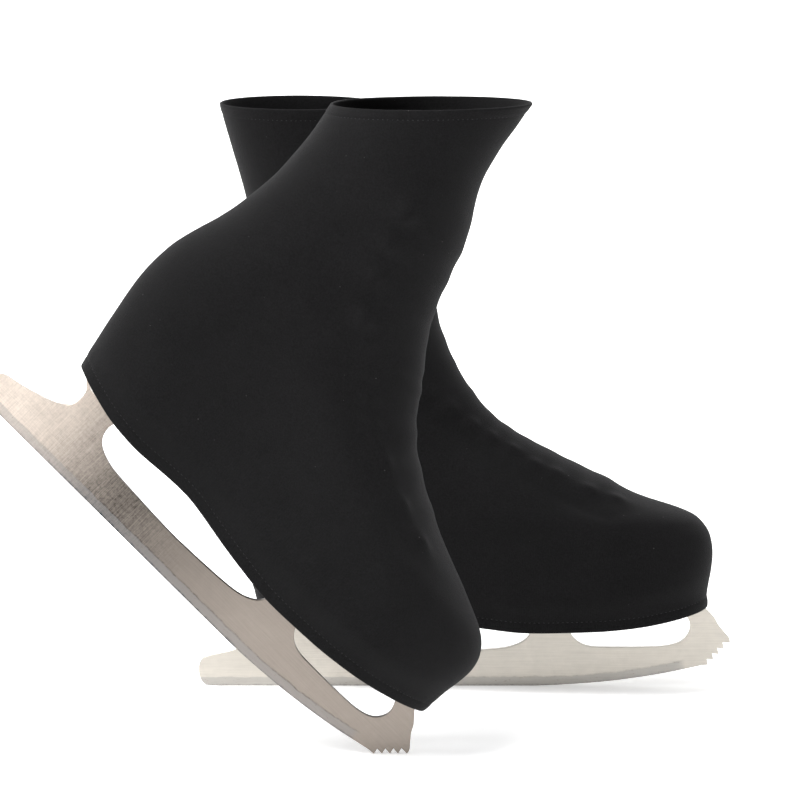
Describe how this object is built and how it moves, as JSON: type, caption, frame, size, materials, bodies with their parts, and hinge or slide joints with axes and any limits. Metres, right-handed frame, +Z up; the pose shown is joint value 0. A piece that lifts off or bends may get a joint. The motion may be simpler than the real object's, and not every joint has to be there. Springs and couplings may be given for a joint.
{
  "type": "pair of covered figure skates",
  "caption": "Pair of figure skates in black stretch boot covers: bare steel blades with toe picks, flexing boots; left flat, right tipped onto its picks.",
  "frame": {"origin": "centre of the bounding box at the level of the ice, under both skates", "axes": "+X from heels to toes, +Y to the left foot, +Z up from the ice"},
  "size_m": [0.3692, 0.2827, 0.316],
  "materials": {
    "blade_steel": "brushed, warm grey, worn",
    "plate_steel": "satin",
    "screw_steel": "plated",
    "sole_leather": "waxed",
    "boot_leather": "smooth",
    "lining": "matte",
    "footbed_foam": "matte",
    "lace": "matte",
    "cover_knit": "soft stretch knit",
    "hem_knit": "doubled stretch knit",
    "elastic": "matte"
  },
  "bodies": {
    "left_foot": {"left_blade": "blade_steel", "left_toe_plate": "plate_steel", "left_heel_plate": "plate_steel", "left_toe_plate_screw_1": "screw_steel", "left_toe_plate_screw_2": "screw_steel", "left_toe_plate_screw_3": "screw_steel", "left_toe_plate_screw_4": "screw_steel", "left_heel_plate_screw_1": "screw_steel", "left_heel_plate_screw_2": "screw_steel", "left_heel_plate_screw_3": "screw_steel", "left_heel_plate_screw_4": "screw_steel", "left_outsole": "sole_leather", "left_heel_block": "sole_leather", "left_insole_board": "lining", "left_footbed": "footbed_foam", "left_boot_lower": "boot_leather", "left_tongue_lower": "boot_leather", "left_eyelet_facing_outer": "boot_leather", "left_eyelet_facing_inner": "boot_leather", "left_lace_instep": "lace", "left_cover_lower": "cover_knit", "left_hem_elastic": "elastic"},
    "left_cuff": {"left_boot_cuff": "boot_leather", "left_tongue_upper": "boot_leather", "left_collar_padding": "lining", "left_hook_facing_outer": "boot_leather", "left_hook_facing_inner": "boot_leather", "left_lace_shaft": "lace", "left_cover_shaft": "cover_knit", "left_cover_top_band": "hem_knit"},
    "right_foot": {"right_blade": "blade_steel", "right_toe_plate": "plate_steel", "right_heel_plate": "plate_steel", "right_toe_plate_screw_1": "screw_steel", "right_toe_plate_screw_2": "screw_steel", "right_toe_plate_screw_3": "screw_steel", "right_toe_plate_screw_4": "screw_steel", "right_heel_plate_screw_1": "screw_steel", "right_heel_plate_screw_2": "screw_steel", "right_heel_plate_screw_3": "screw_steel", "right_heel_plate_screw_4": "screw_steel", "right_outsole": "sole_leather", "right_heel_block": "sole_leather", "right_insole_board": "lining", "right_footbed": "footbed_foam", "right_boot_lower": "boot_leather", "right_tongue_lower": "boot_leather", "right_eyelet_facing_outer": "boot_leather", "right_eyelet_facing_inner": "boot_leather", "right_lace_instep": "lace", "right_cover_lower": "cover_knit", "right_hem_elastic": "elastic"},
    "right_cuff": {"right_boot_cuff": "boot_leather", "right_tongue_upper": "boot_leather", "right_collar_padding": "lining", "right_hook_facing_outer": "boot_leather", "right_hook_facing_inner": "boot_leather", "right_lace_shaft": "lace", "right_cover_shaft": "cover_knit", "right_cover_top_band": "hem_knit"}
  },
  "joints": [
    {"name": "left_ankle_flex", "type": "hinge", "parent": "left_foot", "child": "left_cuff", "pos_m": [-0.0056, 0.095, 0.138], "axis": [0, 1, 0], "range_deg": [-6, 10], "stiffness_Nm_per_rad": 12},
    {"name": "right_toe_rock", "type": "hinge", "parent": "left_foot", "child": "right_foot", "pos_m": [0.0044, -0.095, 0], "axis": [0, 1, 0], "range_deg": [-33, 0]},
    {"name": "right_ankle_flex", "type": "hinge", "parent": "right_foot", "child": "right_cuff", "pos_m": [-0.03217, -0.095, 0.21717], "axis": [0, 1, 0], "range_deg": [-10, 6], "stiffness_Nm_per_rad": 12}
  ]
}
